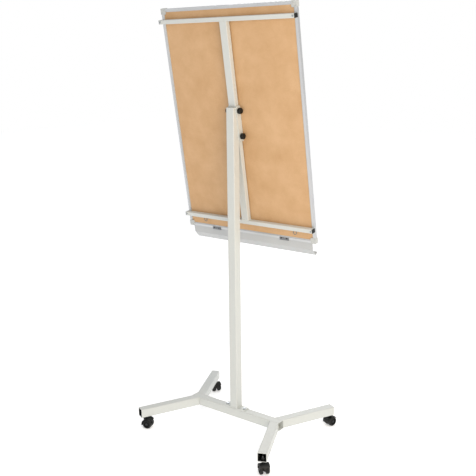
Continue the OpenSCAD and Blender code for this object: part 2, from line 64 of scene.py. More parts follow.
def linear(hex_colour: str) -> tuple[float, float, float, float]:
    """Turn an sRGB hex colour into linear light.

    Args:
        hex_colour: Colour such as "#E4E4DC".

    Returns:
        Red, green, blue and alpha, in linear light.
    """
    parts = [int(hex_colour[i : i + 2], 16) / 255 for i in (1, 3, 5)]
    turned = [p / 12.92 if p <= 0.04045 else ((p + 0.055) / 1.055) ** 2.4 for p in parts]
    return (turned[0], turned[1], turned[2], 1.0)


def per_mm(size_mm: float) -> float:
    """Give a texture's Scale for a pattern of one real size.

    Args:
        size_mm: Size of one pattern cell, in millimetres.

    Returns:
        The Scale that makes such a cell on coordinates in metres.
    """
    return 1000.0 / size_mm


def add(
    tree: Tree, kind: str, inputs: dict | None = None, **settings: object
) -> bpy.types.Node:
    """Add a node with its settings, values and links.

    Args:
        tree: Tree that gets the node.
        kind: Node type, such as "ShaderNodeTexNoise".
        inputs: Input name or index, to a value or to the socket it is linked from.
        **settings: Properties of the node itself.

    Returns:
        The new node.
    """
    made = tree.nodes.new(kind)
    for key, value in settings.items():
        setattr(made, key, value)
    for key, value in (inputs or {}).items():
        if isinstance(value, Socket):
            tree.links.new(value, made.inputs[key])
        else:
            made.inputs[key].default_value = value
    return made


class Run(Enum):
    """Direction in which a profile was drawn or rolled, in the board's own frame."""

    ACROSS = "across"
    UP = "up"


# ------------------------------------------------------------------------ finishes


@dataclass(frozen=True)
class Finish:
    """A surface finish: what it is made of and how its surface was made.

    Attributes:
        name: Maker's name of the finish.
        colour: Main colour, sRGB hex.
        second: Colour that it drifts to, sRGB hex.
        roughness: Lowest and highest roughness.
        metallic: 1 for bare metal, 0 for paint and plastic.
        ior: Index of refraction, or None for a metal's default.
        coat: Weight of a clear layer on top.
    """

    name: str
    colour: str
    second: str
    roughness: tuple[float, float]
    metallic: float = 0.0
    ior: float | None = 1.5
    coat: float = 0.0

    def pattern(self, tree: Tree, place: Socket) -> tuple[Socket, ...]:
        """Make the finish's pattern.

        Args:
            tree: The material's tree.
            place: Coordinates in metres.

        Returns:
            Sockets for the colour mix, the roughness mix and the height.
        """
        raise NotImplementedError

    def bump(self) -> tuple[float, float]:
        """Return the bump's strength and its height in metres."""
        raise NotImplementedError

    def make(self) -> bpy.types.Material:
        """Return the finish's material, made on first use."""
        ready = bpy.data.materials.get(self.name)
        if ready is not None:
            return ready
        material = bpy.data.materials.new(self.name)
        material.use_nodes = True
        tree = material.node_tree
        tree.nodes.clear()
        place = add(tree, "ShaderNodeTexCoord").outputs["Object"]
        tint, gloss, height = self.pattern(tree, place)
        ends = {6: linear(self.colour), 7: linear(self.second)}
        colour = add(tree, "ShaderNodeMix", {0: tint, **ends}, data_type="RGBA")
        rough = add(
            tree,
            "ShaderNodeMapRange",
            {
                "Value": gloss,
                "From Min": NOISE_SPAN[0],
                "From Max": NOISE_SPAN[1],
                "To Min": self.roughness[0],
                "To Max": self.roughness[1],
            },
        )
        strength, distance = self.bump()
        relief = add(
            tree, "ShaderNodeBump", {"Height": height, "Strength": strength, "Distance": distance}
        )
        shader = add(
            tree,
            "ShaderNodeBsdfPrincipled",
            {
                "Base Color": colour.outputs[2],
                "Roughness": rough.outputs[0],
                "Normal": relief.outputs[0],
                "Metallic": self.metallic,
            },
        )
        if self.ior is not None:
            shader.inputs["IOR"].default_value = self.ior
        if self.coat:
            shader.inputs["Coat Weight"].default_value = self.coat
            shader.inputs["Coat Roughness"].default_value = COAT_ROUGHNESS
        add(tree, "ShaderNodeOutputMaterial", {"Surface": shader.outputs[0]})
        return material


@dataclass(frozen=True)
class PowderCoat(Finish):
    """Polyester powder baked on steel tube: satin, with a faint orange peel and rubbed streaks.

    Attributes:
        peel_mm: Width of a bump of the orange peel.
    """

    peel_mm: float = 2.2

    def pattern(self, tree: Tree, place: Socket) -> tuple[Socket, ...]:
        """Make slow colour drift, rubbed streaks in the gloss and an orange peel."""
        drift = add(
            tree, "ShaderNodeTexNoise", {"Vector": place, "Scale": per_mm(220), "Detail": 4.0}
        )
        long_way = add(tree, "ShaderNodeMapping", {"Vector": place, "Scale": (1.0, 1.0, 0.15)})
        streaks = add(
            tree,
            "ShaderNodeTexNoise",
            {"Vector": long_way.outputs[0], "Scale": per_mm(14), "Detail": 5.0},
        )
        peel = add(
            tree,
            "ShaderNodeTexNoise",
            {"Vector": place, "Scale": per_mm(self.peel_mm), "Detail": 1.5},
        )
        return drift.outputs["Fac"], streaks.outputs["Fac"], peel.outputs["Fac"]

    def bump(self) -> tuple[float, float]:
        """Return the orange peel's strength and its height in metres."""
        return 0.22, 0.06 * MM


@dataclass(frozen=True)
class AnodisedExtrusion(Finish):
    """Extruded aluminium, etched and anodised silver: soft gloss, with die lines along it.

    Attributes:
        run: Direction that the profile was drawn in.
        lean_deg: Angle that the profile leans back.
    """

    run: Run = Run.ACROSS
    lean_deg: float = LEAN_DEG

    def pattern(self, tree: Tree, place: Socket) -> tuple[Socket, ...]:
        """Make die lines that run along the profile, and slow drift of the etch."""
        turned = add(
            tree,
            "ShaderNodeMapping",
            {"Vector": place, "Rotation": (math.radians(self.lean_deg), 0, 0)},
        )
        squeeze = (0.006, 1.0, 1.0) if self.run is Run.ACROSS else (1.0, 1.0, 0.006)
        drawn = add(tree, "ShaderNodeMapping", {"Vector": turned.outputs[0], "Scale": squeeze})
        # Die lines are under 0.2 mm apart; they are drawn 0.9 mm apart, so that they show
        lines = add(
            tree,
            "ShaderNodeTexNoise",
            {"Vector": drawn.outputs[0], "Scale": per_mm(0.9), "Detail": 3.0},
        )
        drift = add(
            tree, "ShaderNodeTexNoise", {"Vector": place, "Scale": per_mm(90), "Detail": 3.0}
        )
        mixed = add(
            tree, "ShaderNodeMix", {0: 0.6, 2: drift.outputs["Fac"], 3: lines.outputs["Fac"]}
        )
        return mixed.outputs[0], mixed.outputs[0], lines.outputs["Fac"]

    def bump(self) -> tuple[float, float]:
        """Return the die lines' strength and their height in metres."""
        return 0.12, 0.03 * MM


@dataclass(frozen=True)
class Hardboard(Finish):
    """Wet-pressed hardboard: a smooth tan face with felted fibres, dark flecks and cloudy colour.

    Attributes:
        fibre_mm: Width of a clump of fibres.
        fleck_mm: Distance between flecks.
    """

    fibre_mm: float = 1.6
    fleck_mm: float = 4.5

    def pattern(self, tree: Tree, place: Socket) -> tuple[Socket, ...]:
        """Make felted fibres, flecks and clouds."""
        clouds = add(
            tree,
            "ShaderNodeTexNoise",
            {"Vector": place, "Scale": per_mm(85), "Detail": 5.0, "Roughness": 0.6},
        )
        bent = add(
            tree, "ShaderNodeTexNoise", {"Vector": place, "Scale": per_mm(12), "Detail": 2.0}
        )
        shifted = add(
            tree,
            "ShaderNodeVectorMath",
            {0: bent.outputs["Color"], 1: (0.012, 0.012, 0.012), 2: place},
            operation="MULTIPLY_ADD",
        )
        fibres = add(
            tree,
            "ShaderNodeTexNoise",
            {
                "Vector": shifted.outputs[0],
                "Scale": per_mm(self.fibre_mm),
                "Detail": 6.0,
                "Roughness": 0.7,
            },
        )
        cells = add(
            tree,
            "ShaderNodeTexVoronoi",
            {"Vector": shifted.outputs[0], "Scale": per_mm(self.fleck_mm)},
        )
        flecks = add(
            tree,
            "ShaderNodeMapRange",
            {
                "Value": cells.outputs["Distance"],
                "From Min": 0.02,
                "From Max": 0.16,
                "To Min": 0.5,
                "To Max": 0.0,
            },
        )
        base = add(
            tree, "ShaderNodeMix", {0: 0.55, 2: clouds.outputs["Fac"], 3: fibres.outputs["Fac"]}
        )
        spread = add(
            tree,
            "ShaderNodeMapRange",
            {
                "Value": base.outputs[0],
                "From Min": 0.36,
                "From Max": 0.64,
                "To Min": 0.0,
                "To Max": 0.8,
            },
        )
        total = add(
            tree,
            "ShaderNodeMath",
            {0: spread.outputs[0], 1: flecks.outputs[0]},
            operation="ADD", use_clamp=True,
        )
        return total.outputs[0], fibres.outputs["Fac"], fibres.outputs["Fac"]

    def bump(self) -> tuple[float, float]:
        """Return the fibres' strength and their height in metres."""
        return 0.25, 0.12 * MM


@dataclass(frozen=True)
class Moulded(Finish):
    """Injection-moulded plastic from a spark-eroded tool: an even fine grain, dulled in places.

    Attributes:
        grain_mm: Width of a grain.
    """

    grain_mm: float = 0.8

    def pattern(self, tree: Tree, place: Socket) -> tuple[Socket, ...]:
        """Make the tool's grain and a slow change of gloss."""
        drift = add(
            tree, "ShaderNodeTexNoise", {"Vector": place, "Scale": per_mm(25), "Detail": 3.0}
        )
        grain = add(
            tree,
            "ShaderNodeTexVoronoi",
            {"Vector": place, "Scale": per_mm(self.grain_mm)},
            feature="SMOOTH_F1",
        )
        return drift.outputs["Fac"], drift.outputs["Fac"], grain.outputs["Distance"]

    def bump(self) -> tuple[float, float]:
        """Return the grain's strength and its height in metres."""
        return 0.2, 0.06 * MM


@dataclass(frozen=True)
class Plated(Finish):
    """Zinc plating on turned and rolled steel: bright, slightly milky, with fine turning marks."""

    def pattern(self, tree: Tree, place: Socket) -> tuple[Socket, ...]:
        """Make milky patches and turning marks."""
        milk = add(tree, "ShaderNodeTexNoise", {"Vector": place, "Scale": per_mm(6), "Detail": 4.0})
        marks = add(
            tree,
            "ShaderNodeTexWave",
            {"Vector": place, "Scale": per_mm(6), "Distortion": 1.5, "Detail": 1.0},
            bands_direction="DIAGONAL",
        )
        return milk.outputs["Fac"], milk.outputs["Fac"], marks.outputs["Fac"]

    def bump(self) -> tuple[float, float]:
        """Return the marks' strength and their height in metres."""
        return 0.08, 0.02 * MM


STAND_WHITE = PowderCoat("off-white powder coat", "#D3D6D2", "#CCCFCC", (0.36, 0.52), coat=0.1)
TRAY_GREY = PowderCoat("light grey powder coat", "#C2C4C4", "#B9BBBC", (0.38, 0.52), peel_mm=1.6)
FRAME_ACROSS = AnodisedExtrusion(
    "anodised aluminium, drawn across", "#D6D8D9", "#C3C5C7", (0.3, 0.46), 0.6, None
)
FRAME_UP = AnodisedExtrusion(
    "anodised aluminium, drawn up", "#D6D8D9", "#C3C5C7", (0.3, 0.46), 0.6, None, run=Run.UP
)
CAP_GREY = Moulded("light grey ABS", "#C6C8C5", "#BDBFBD", (0.42, 0.55), ior=1.53)
BACK_BOARD = Hardboard("tempered hardboard", "#DAB388", "#C19667", (0.55, 0.75), ior=1.45)
CORE_BOARD = Hardboard("fibreboard core", "#D9BD94", "#B8946A", (0.7, 0.85), ior=1.45, fibre_mm=2.5)
WRITING_WHITE = PowderCoat(
    "glazed white enamel", "#F6F7F7", "#F1F3F4", (0.08, 0.14), coat=0.6, peel_mm=8.0
)
BLACK_ABS = Moulded("black ABS", "#080908", "#10110F", (0.42, 0.6), ior=1.42)
WHEEL_NYLON = Moulded("black nylon", "#0A0B0A", "#131412", (0.48, 0.66), ior=1.42, grain_mm=1.2)
WHITE_NYLON = Moulded("natural nylon", "#EDECE4", "#E4E2D8", (0.4, 0.55), ior=1.53)
SOFT_RUBBER = Moulded("grey rubber", "#4A4B4B", "#3E3F3F", (0.65, 0.8), ior=1.52, grain_mm=0.6)
BRIGHT_ZINC = Plated("bright zinc plate", "#C9CCCE", "#AEB2B6", (0.2, 0.38), 1.0, None)
DULL_ZINC = Plated("dull zinc plate", "#8E9092", "#797B7E", (0.32, 0.5), 0.9, None)
DARK_ZINC = Plated("black zinc plate", "#4B4C4D", "#36373A", (0.3, 0.5), 1.0, None)
# Near black: mill scale inside the leg tubes, darkened further as painted shade for their shaded
# insides.
MILL_SCALE_AND_SHADE = Plated("black mill scale and painted shade", "#1A1A1B", "#101011", (0.5, 0.7), 0.3, None)
FLOOR_PAINT = Moulded("pale matt floor paint", "#FCFCFC", "#FAFAFA", (0.85, 0.95), grain_mm=3.0)
GREY_WIRE = Plated("coated spring wire", "#8A8B8A", "#757675", (0.35, 0.5), 0.6, None)


def dress(finish: Finish, *nodes: str) -> None:
    """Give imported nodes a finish.

    Args:
        finish: The finish.
        *nodes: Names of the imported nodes.
    """
    material = finish.make()
    for name in nodes:
        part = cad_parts[name]
        if not part.material_slots:
            part.data.materials.append(material)
        for held in part.material_slots:
            held.material = material
        LOG.info("%s: %s", name, finish.name)


# ------------------------------------------------------------------------ grown detail


SOCKETS = {int: "NodeSocketInt", float: "NodeSocketFloat", tuple: "NodeSocketVector"}


@dataclass
class Grower:
    """A Geometry Nodes tree that repeats a small shape, built once and then used with other sizes.

    Attributes:
        name: Name of the tree.
        sizes: Named inputs and their default values.
    """

    name: str
    sizes: dict[str, float | int | tuple[float, float, float]]
    tree: Tree = field(init=False)

    def __post_init__(self) -> None:
        """Build the tree with its named inputs."""
        self.tree = bpy.data.node_groups.new(self.name, "GeometryNodeTree")
        face = self.tree.interface
        face.new_socket("Geometry", in_out="INPUT", socket_type="NodeSocketGeometry")
        for label, value in self.sizes.items():
            socket = face.new_socket(label, in_out="INPUT", socket_type=SOCKETS[type(value)])
            socket.default_value = value
        face.new_socket("Material", in_out="INPUT", socket_type="NodeSocketMaterial")
        face.new_socket("Geometry", in_out="OUTPUT", socket_type="NodeSocketGeometry")
        given = add(self.tree, "NodeGroupInput")
        grown = self.instances(given)
        real = add(self.tree, "GeometryNodeRealizeInstances", {"Geometry": grown})
        painted = add(
            self.tree,
            "GeometryNodeSetMaterial",
            {"Geometry": real.outputs[0], "Material": given.outputs["Material"]},
        )
        add(self.tree, "NodeGroupOutput", {0: painted.outputs[0]})

    def instances(self, given: bpy.types.Node) -> Socket:
        """Return the socket that holds the repeated shape."""
        raise NotImplementedError

    def grow(
        self, seedbed: bpy.types.Mesh, finish: Finish, **sizes: float | tuple[float, ...]
    ) -> bpy.types.Mesh:
        """Grow the detail on a mesh.

        Args:
            seedbed: Mesh that the tree works on.
            finish: Finish of the grown shapes.
            **sizes: Values for the named inputs, with underscores for spaces.

        Returns:
            A plain mesh.
        """
        bed = bpy.data.objects.new("seedbed", seedbed)
        bpy.context.scene.collection.objects.link(bed)
        modifier = bed.modifiers.new("grow", "NODES")
        modifier.node_group = self.tree
        wanted = {key.replace("_", " "): value for key, value in sizes.items()}
        for item in self.tree.interface.items_tree:
            if item.in_out == "INPUT" and item.name in wanted:
                modifier[item.identifier] = wanted[item.name]
            if item.in_out == "INPUT" and item.name == "Material":
                modifier[item.identifier] = finish.make()
        ready = bed.evaluated_get(bpy.context.evaluated_depsgraph_get())
        mesh = bpy.data.meshes.new_from_object(ready)
        bpy.data.objects.remove(bed)
        return mesh


class WeldBead(Grower):
    """A weld: overlapping scales laid along a seam."""

    def instances(self, given: bpy.types.Node) -> Socket:
        """Lay flattened balls along each edge of the mesh, with a little variation."""
        seam = add(self.tree, "GeometryNodeMeshToCurve", {"Mesh": given.outputs["Geometry"]})
        spots = add(
            self.tree,
            "GeometryNodeCurveToPoints",
            {"Curve": seam.outputs[0], "Length": given.outputs["pitch"]},
            mode="LENGTH",
        )
        ball = add(
            self.tree,
            "GeometryNodeMeshIcoSphere",
            {"Radius": given.outputs["bead radius"], "Subdivisions": 2},
        )
        smooth = add(self.tree, "GeometryNodeSetShadeSmooth", {"Geometry": ball.outputs[0]})
        vary = add(
            self.tree,
            "FunctionNodeRandomValue",
            {0: (0.88, 0.88, 0.5), 1: (1.1, 1.1, 0.62), "Seed": given.outputs["seed"]},
            data_type="FLOAT_VECTOR",
        )
        laid = add(
            self.tree,
            "GeometryNodeInstanceOnPoints",
            {
                "Points": spots.outputs["Points"],
                "Instance": smooth.outputs[0],
                "Rotation": spots.outputs["Rotation"],
                "Scale": vary.outputs[0],
            },
        )
        return laid.outputs[0]


class RivetRow(Grower):
    """Domed rivet heads, one on each vertex, all facing one way."""

    def instances(self, given: bpy.types.Node) -> Socket:
        """Set a flattened dome on each vertex."""
        dome = add(
            self.tree,
            "GeometryNodeMeshUVSphere",
            {"Radius": given.outputs["head radius"], "Segments": 20, "Rings": 10},
        )
        smooth = add(self.tree, "GeometryNodeSetShadeSmooth", {"Geometry": dome.outputs[0]})
        turned = add(
            self.tree,
            "FunctionNodeAlignRotationToVector",
            {"Vector": given.outputs["facing"]},
            axis="Z",
        )
        flat = add(
            self.tree, "ShaderNodeCombineXYZ", {0: 1.0, 1: 1.0, 2: given.outputs["flatness"]}
        )
        laid = add(
            self.tree,
            "GeometryNodeInstanceOnPoints",
            {
                "Points": given.outputs["Geometry"],
                "Instance": smooth.outputs[0],
                "Rotation": turned.outputs[0],
                "Scale": flat.outputs[0],
            },
        )
        return laid.outputs[0]


class WheelSpokes(Grower):
    """Stiffening ribs that stand like spokes in the dish of a moulded wheel."""

    def instances(self, given: bpy.types.Node) -> Socket:
        """Set ribs on a circle, each turned to point outwards."""
        middle = add(
            self.tree,
            "ShaderNodeMath",
            {0: given.outputs["inner radius"], 1: given.outputs["outer radius"]},
            operation="ADD",
        )
        half = add(
            self.tree, "ShaderNodeMath", {0: middle.outputs[0], 1: 0.5}, operation="MULTIPLY"
        )
        reach = add(
            self.tree,
            "ShaderNodeMath",
            {0: given.outputs["outer radius"], 1: given.outputs["inner radius"]},
            operation="SUBTRACT",
        )
        ring = add(
            self.tree,
            "GeometryNodeMeshCircle",
            {"Vertices": given.outputs["count"], "Radius": half.outputs[0]},
        )
        size = add(
            self.tree,
            "ShaderNodeCombineXYZ",
            {0: reach.outputs[0], 1: given.outputs["thickness"], 2: given.outputs["depth"]},
        )
        rib = add(self.tree, "GeometryNodeMeshCube", {"Size": size.outputs[0]})
        place = add(self.tree, "GeometryNodeInputPosition")
        turned = add(
            self.tree, "FunctionNodeAlignRotationToVector", {"Vector": place.outputs[0]}, axis="X"
        )
        laid = add(
            self.tree,
            "GeometryNodeInstanceOnPoints",
            {"Points": ring.outputs[0], "Instance": rib.outputs[0], "Rotation": turned.outputs[0]},
        )
        return laid.outputs[0]


class RibStrip(Grower):
    """Half-round ribs side by side along a moulded strip."""

    def instances(self, given: bpy.types.Node) -> Socket:
        """Set upright round ribs on the mesh's vertices."""
        rib = add(
            self.tree,
            "GeometryNodeMeshCylinder",
            {
                "Vertices": 10,
                "Radius": given.outputs["rib radius"],
                "Depth": given.outputs["rib length"],
            },
        )
        smooth = add(self.tree, "GeometryNodeSetShadeSmooth", {"Geometry": rib.outputs[0]})
        turned = add(
            self.tree,
            "FunctionNodeAlignRotationToVector",
            {"Vector": given.outputs["facing"]},
            axis="Z",
        )
        laid = add(
            self.tree,
            "GeometryNodeInstanceOnPoints",
            {
                "Points": given.outputs["Geometry"],
                "Instance": smooth.outputs[0],
                "Rotation": turned.outputs[0],
            },
        )
        return laid.outputs[0]


class SweptWire(Grower):
    """Round wire bent along a path, with closed ends."""

    def instances(self, given: bpy.types.Node) -> Socket:
        """Sweep a circle along the mesh's lines."""
        path = add(self.tree, "GeometryNodeMeshToCurve", {"Mesh": given.outputs["Geometry"]})
        ring = add(
            self.tree,
            "GeometryNodeCurvePrimitiveCircle",
            {"Resolution": 20, "Radius": given.outputs["wire radius"]},
            mode="RADIUS",
        )
        swept = add(
            self.tree,
            "GeometryNodeCurveToMesh",
            {"Curve": path.outputs[0], "Profile Curve": ring.outputs[0], "Fill Caps": True},
        )
        smooth = add(self.tree, "GeometryNodeSetShadeSmooth", {"Geometry": swept.outputs[0]})
        return smooth.outputs[0]


def seams(*lines: list[Vector]) -> bpy.types.Mesh:
    """Make a mesh of open lines, or of single spots where a line has one point.

    Args:
        *lines: Points of each line, in metres.

    Returns:
        A mesh with one chain of edges for each line.
    """
    points: list[Vector] = []
    edges: list[tuple[int, int]] = []
    for line in lines:
        start = len(points)
        points += line
        edges += [(start + i, start + i + 1) for i in range(len(line) - 1)]
    mesh = bpy.data.meshes.new("seams")
    mesh.from_pydata(points, edges, [])
    return mesh


def piece(name: str, mesh: bpy.types.Mesh, body: str) -> bpy.types.Object:
    """Put a mesh into the scene as a piece of the stand.

    Args:
        name: Name of the piece.
        mesh: Its mesh, in place.
        body: Body that it rides on.

    Returns:
        The piece's object.
    """
    made = bpy.data.objects.new(name, mesh)
    bpy.context.scene.collection.objects.link(made)
    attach(made, body)
    LOG.info("%s: %d faces on %s", name, len(mesh.polygons), body)
    return made


# ------------------------------------------------------------------------ sub-assemblies


@dataclass
class Base:
    """Beam, legs, foot plate and post, welded together.

    Attributes:
        leg_root_mm: Distance from the post's axis to where the legs' centre lines meet.
        leg_angle_deg: Angle of the legs from the beam.
        tube_mm: Outer size of the tubes.
        beam_top_mm: Height of the beam's top.
        plate_mm: Half length and thickness of the foot plate.
        leg_len_mm: Length of a leg from where the centre lines meet.
        lining_mm: Distance of the dark lining from the tube's outside, where it starts and ends
        from the opening, and its thickness; the lining is mill scale, made near black as painted
        shade.
        weld_end_mm: Distance that a leg's upright bead stops short of the tube's top and bottom.
    """

    leg_root_mm: float = 220.0
    leg_angle_deg: float = 65.0
    tube_mm: float = 40.0
    beam_top_mm: float = 96.0
    plate_mm: tuple[float, float] = (60.0, 5.0)
    leg_len_mm: float = 307.0
    lining_mm: tuple[float, float, float, float] = (2.05, 0.6, 60.0, 0.2)
    weld_end_mm: float = 5.0

    def leg_edges(self) -> tuple[float, float]:
        """Return where a leg's two sides meet the beam's side, in millimetres along the beam."""
        half, turn = self.tube_mm / 2, math.radians(self.leg_angle_deg)
        found = []
        for side in (1, -1):
            along = (half - side * half * math.cos(turn)) / math.sin(turn)
            found.append(self.leg_root_mm + along * math.cos(turn) - side * half * math.sin(turn))
        return found[0], found[1]

    def leg_seams(self) -> list[list[Vector]]:
        """Return the weld lines where the legs meet the beam."""
        near, far = self.leg_edges()
        half, top = self.tube_mm / 2, self.beam_top_mm
        # How far a bead's middle stands off the corner that it fills, and lies inside the top
        off_side, off_near, off_far = 0.2, 0.5, 0.3
        in_side, in_top, in_end = 1.2, 1.4, 1
        heights = (top - self.weld_end_mm, top - self.tube_mm + self.weld_end_mm)
        lines = []
        for sx in (1, -1):
            for sy in (1, -1):
                y = sy * (half + off_side)
                for x in (near - off_near, far + off_far):
                    lines.append([Vector((sx * x, y, z)) * MM for z in heights])
                y, z = sy * (half - in_side), top - in_top
                lines.append([Vector((sx * x, y, z)) * MM for x in (near + in_end, far - in_end)])
        return lines

    def post_seams(self) -> list[list[Vector]]:
        """Return the weld lines round the post's foot and across the ends of the foot plate."""
        off_side, off_top, in_end = 0.4, 0.5, 2
        half, reach = self.tube_mm / 2 + off_side, self.tube_mm / 2 - in_end
        low = self.beam_top_mm + off_top
        z = self.beam_top_mm + self.plate_mm[1] + off_top
        lines = []
        for s in (1, -1):
            lines.append([Vector((x, s * half, z)) * MM for x in (-reach, reach)])
            lines.append([Vector((s * half, y, z)) * MM for y in (-reach, reach)])
            end = s * (self.plate_mm[0] + off_side)
            lines.append([Vector((end, y, low)) * MM for y in (-reach + in_end, reach - in_end)])
        return lines

    def make(self, weld: WeldBead) -> None:
        """Dress the base and lay its welds.

        Args:
            weld: Tree that lays weld beads.
        """
        legs = [f"leg_{end}_{side}" for end in ("front", "rear") for side in ("right", "left")]
        dress(STAND_WHITE, "base_beam", "foot_plate", "post", *legs)
        dress(BRIGHT_ZINC, "pivot_studs", "foot_bolts")
        dress(DULL_ZINC, "caster_stems", "stem_nuts")
        lines = seams(*self.leg_seams(), *self.post_seams())
        bead = weld.grow(lines, STAND_WHITE, bead_radius=2.0 * MM, pitch=1.5 * MM)
        piece("base_welds", bead, "base")
        # Dark sleeves in the open leg ends: mill scale, made near black and closed off as painted
        # shade.
        piece("tube_end_scale_and_shade", self.tube_scale_and_shade(), "base")

    def tube_scale_and_shade(self) -> bpy.types.Mesh:
        """Line the open ends of the legs with dark mill scale where the powder does not reach, made
        near black as painted shade for the shaded tube insides.

        Returns:
            A mesh of short square sleeves, each closed at its inner end by a dark sheet of painted
            shade.
        """
        outer = self.tube_mm / 2 - self.lining_mm[0]
        start, depth, skin = self.lining_mm[1:]
        middle = Matrix.Translation(Vector((0, 0, self.beam_top_mm - self.tube_mm / 2)))
        angle = math.radians(self.leg_angle_deg)
        corners = ((-1, -1), (1, -1), (1, 1), (-1, 1))
        ends = []
        for sx in (1, -1):
            for sy in (1, -1):
                turn = math.atan2(sy * math.sin(angle), sx * math.cos(angle))
                root = Matrix.Translation((sx * self.leg_root_mm, 0, 0))
                reach = Matrix.Translation((self.leg_len_mm, 0, 0))
                ends.append(root @ Matrix.Rotation(turn, 4, "Z") @ reach)
        points: list[Vector] = []
        faces: list[tuple[int, ...]] = []
        for end in ends:
            first = len(points)
            inner = outer - skin
            rings = ((-start, outer), (-depth - skin, outer), (-start, inner), (-depth, inner))
            for x, half in rings:
                points += [middle @ end @ Vector((x, y * half, z * half)) * MM for y, z in corners]
            for i in range(4):
                j = (i + 1) % 4
                faces.append((first + j, first + i, first + 4 + i, first + 4 + j))
                faces.append((first + 8 + i, first + 8 + j, first + 12 + j, first + 12 + i))
                faces.append((first + i, first + j, first + 8 + j, first + 8 + i))
            # Closed inner ends: a dark sheet of painted shade where the real tube stays open.
            faces += [tuple(first + n for n in cap) for cap in ((12, 13, 14, 15), (7, 6, 5, 4))]
        mesh = bpy.data.meshes.new("tube end scale and painted shade")
        mesh.from_pydata(points, [], faces)
        mesh.materials.append(MILL_SCALE_AND_SHADE.make())
        return mesh


@dataclass
class BoardPlace:
    """The board's own frame in millimetres: origin at the tilt pivot, Y to the back, Z up it.

    Attributes:
        lean_deg: Angle that the board leans back.
        pivot_mm: Depth and height of the tilt pivot.
    """

    lean_deg: float = LEAN_DEG
    pivot_mm: tuple[float, float] = (-11.0, 1461.0)

    def at(self, x: float, y: float, z: float) -> Vector:
        """Turn a point of the board's frame, in millimetres, into the stand's, in metres."""
        turn = Matrix.Rotation(math.radians(-self.lean_deg), 3, "X")
        return (turn @ Vector((x, y, z)) + Vector((0.0, *self.pivot_mm))) * MM

    def along(self, x: float, y: float, z: float) -> Vector:
        """Turn a direction of the board's frame into one of the stand's."""
        return Matrix.Rotation(math.radians(-self.lean_deg), 3, "X") @ Vector((x, y, z))


@dataclass
class Carrier:
    """Spine, cross bars and the bracket that holds the spine on the post.

    Attributes:
        place: The board's frame.
        spine_half_mm: Half the spine's width.
        spine_ends_mm: Heights of the spine's two ends in the board's frame.
        depth_mm: Half the depth of the spine and the bars.
    """

    place: BoardPlace
    spine_half_mm: float = 18.0
    spine_ends_mm: tuple[float, float] = (371.5, -494.7)
    depth_mm: float = 11.5

    def make(self, weld: WeldBead) -> None:
        """Dress the carrier and its clamps, and weld the spine to the bars.

        Args:
            weld: Tree that lays weld beads.
        """
        dress(STAND_WHITE, "spine", "upper_bar", "lower_bar", "tilt_bracket")
        dress(BLACK_ABS, "bar_plugs", "pivot_knob_right", "pivot_knob_left", "clamp_knob")
        dress(BRIGHT_ZINC, "bar_screws", "clamp_screw")
        dress(WHITE_NYLON, "glide_strips")
        # How far a bead's middle stands off its corner, lies inside the back, and stops short
        off_side, off_end, in_back = 0.2, 0.3, 0.6
        in_end, in_rear = 2, 1.5
        half, depth = self.spine_half_mm, self.depth_mm
        lines = []
        for end, way in zip(self.spine_ends_mm, (-1, 1)):
            for side in (1, -1):
                x, z = side * (half + off_side), end + way * off_end
                lines.append([self.place.at(x, y, z) for y in (-depth + in_end, depth - in_rear)])
            back = depth - in_back
            lines.append([self.place.at(x, back, end) for x in (-half + in_end, half - in_end)])
        bead = weld.grow(seams(*lines), STAND_WHITE, bead_radius=1.7 * MM, pitch=1.3 * MM)
        piece("spine_welds", bead, "board")


@dataclass
class FramedBoard:
    """The panel, its aluminium frame and the moulded corner caps.

    Attributes:
        place: The board's frame.
        half_width_mm: Half the frame's width.
        ends_mm: Heights of the frame's top and bottom in the board's frame.
        back_mm: Depth of the corner caps' back.
        rivet_mm: Distances of a rivet from the frame's two outer edges.
    """

    place: BoardPlace
    half_width_mm: float = 352.0
    ends_mm: tuple[float, float] = (434.0, -566.0)
    back_mm: float = -10.5
    rivet_mm: tuple[float, float] = (5.0, 18.0)

    def make(self, rivets: RivetRow) -> None:
        """Dress the board and set two rivets in each corner cap.

        Args:
            rivets: Tree that sets rivet heads.
        """
        dress(FRAME_ACROSS, "frame_top", "frame_bottom")
        dress(FRAME_UP, "frame_right", "frame_left")
        dress(CAP_GREY, "corner_caps")
        dress(BACK_BOARD, "back_panel")
        dress(CORE_BOARD, "core_panel")
        dress(WRITING_WHITE, "writing_sheet")
        near, far = self.rivet_mm
        spots = []
        for sx in (1, -1):
            for end, way in zip(self.ends_mm, (-1, 1)):
                for in_x, in_z in ((near, far), (far, near)):
                    x, z = sx * (self.half_width_mm - in_x), end + way * in_z
                    spots.append([self.place.at(x, self.back_mm, z)])
        back = tuple(self.place.along(0, 1, 0))
        heads = rivets.grow(
            seams(*spots), BRIGHT_ZINC, head_radius=2.2 * MM, flatness=0.38, facing=back
        )
        piece("cap_rivets", heads, "board")


@dataclass
class PaperClamp:
    """Clamp rail with its lifting bar and the two hooks that a pad hangs on.

    Attributes:
        place: The board's frame.
        face_mm: Depth of the clamp bar's front.
        ribs_mm: Half length of the finger ribs, their pitch and the height of their middle.
    """

    place: BoardPlace
    face_mm: float = -35.5
    ribs_mm: tuple[float, float, float] = (84.0, 4.0, 360.0)

    def make(self, ribs: RibStrip) -> None:
        """Dress the clamp and add the finger ribs on its bar.

        Args:
            ribs: Tree that sets ribs.
        """
        dress(FRAME_ACROSS, "clamp_rail", "clamp_bar")
        dress(BLACK_ABS, "clamp_end_blocks", "pad_hook_right", "pad_hook_left")
        dress(SOFT_RUBBER, "clamp_grip")
        dress(BRIGHT_ZINC, "rail_screws", "clamp_pins")
        half, pitch, height = self.ribs_mm
        count = int(2 * half / pitch)
        spots = [[self.place.at(-half + pitch * i, self.face_mm, height)] for i in range(count + 1)]
        strip = ribs.grow(
            seams(*spots),
            FRAME_ACROSS,
            rib_radius=0.9 * MM,
            rib_length=11.0 * MM,
            facing=tuple(self.place.along(0, 0, 1)),
        )
        piece("clamp_finger_ribs", strip, "paper_clamp")


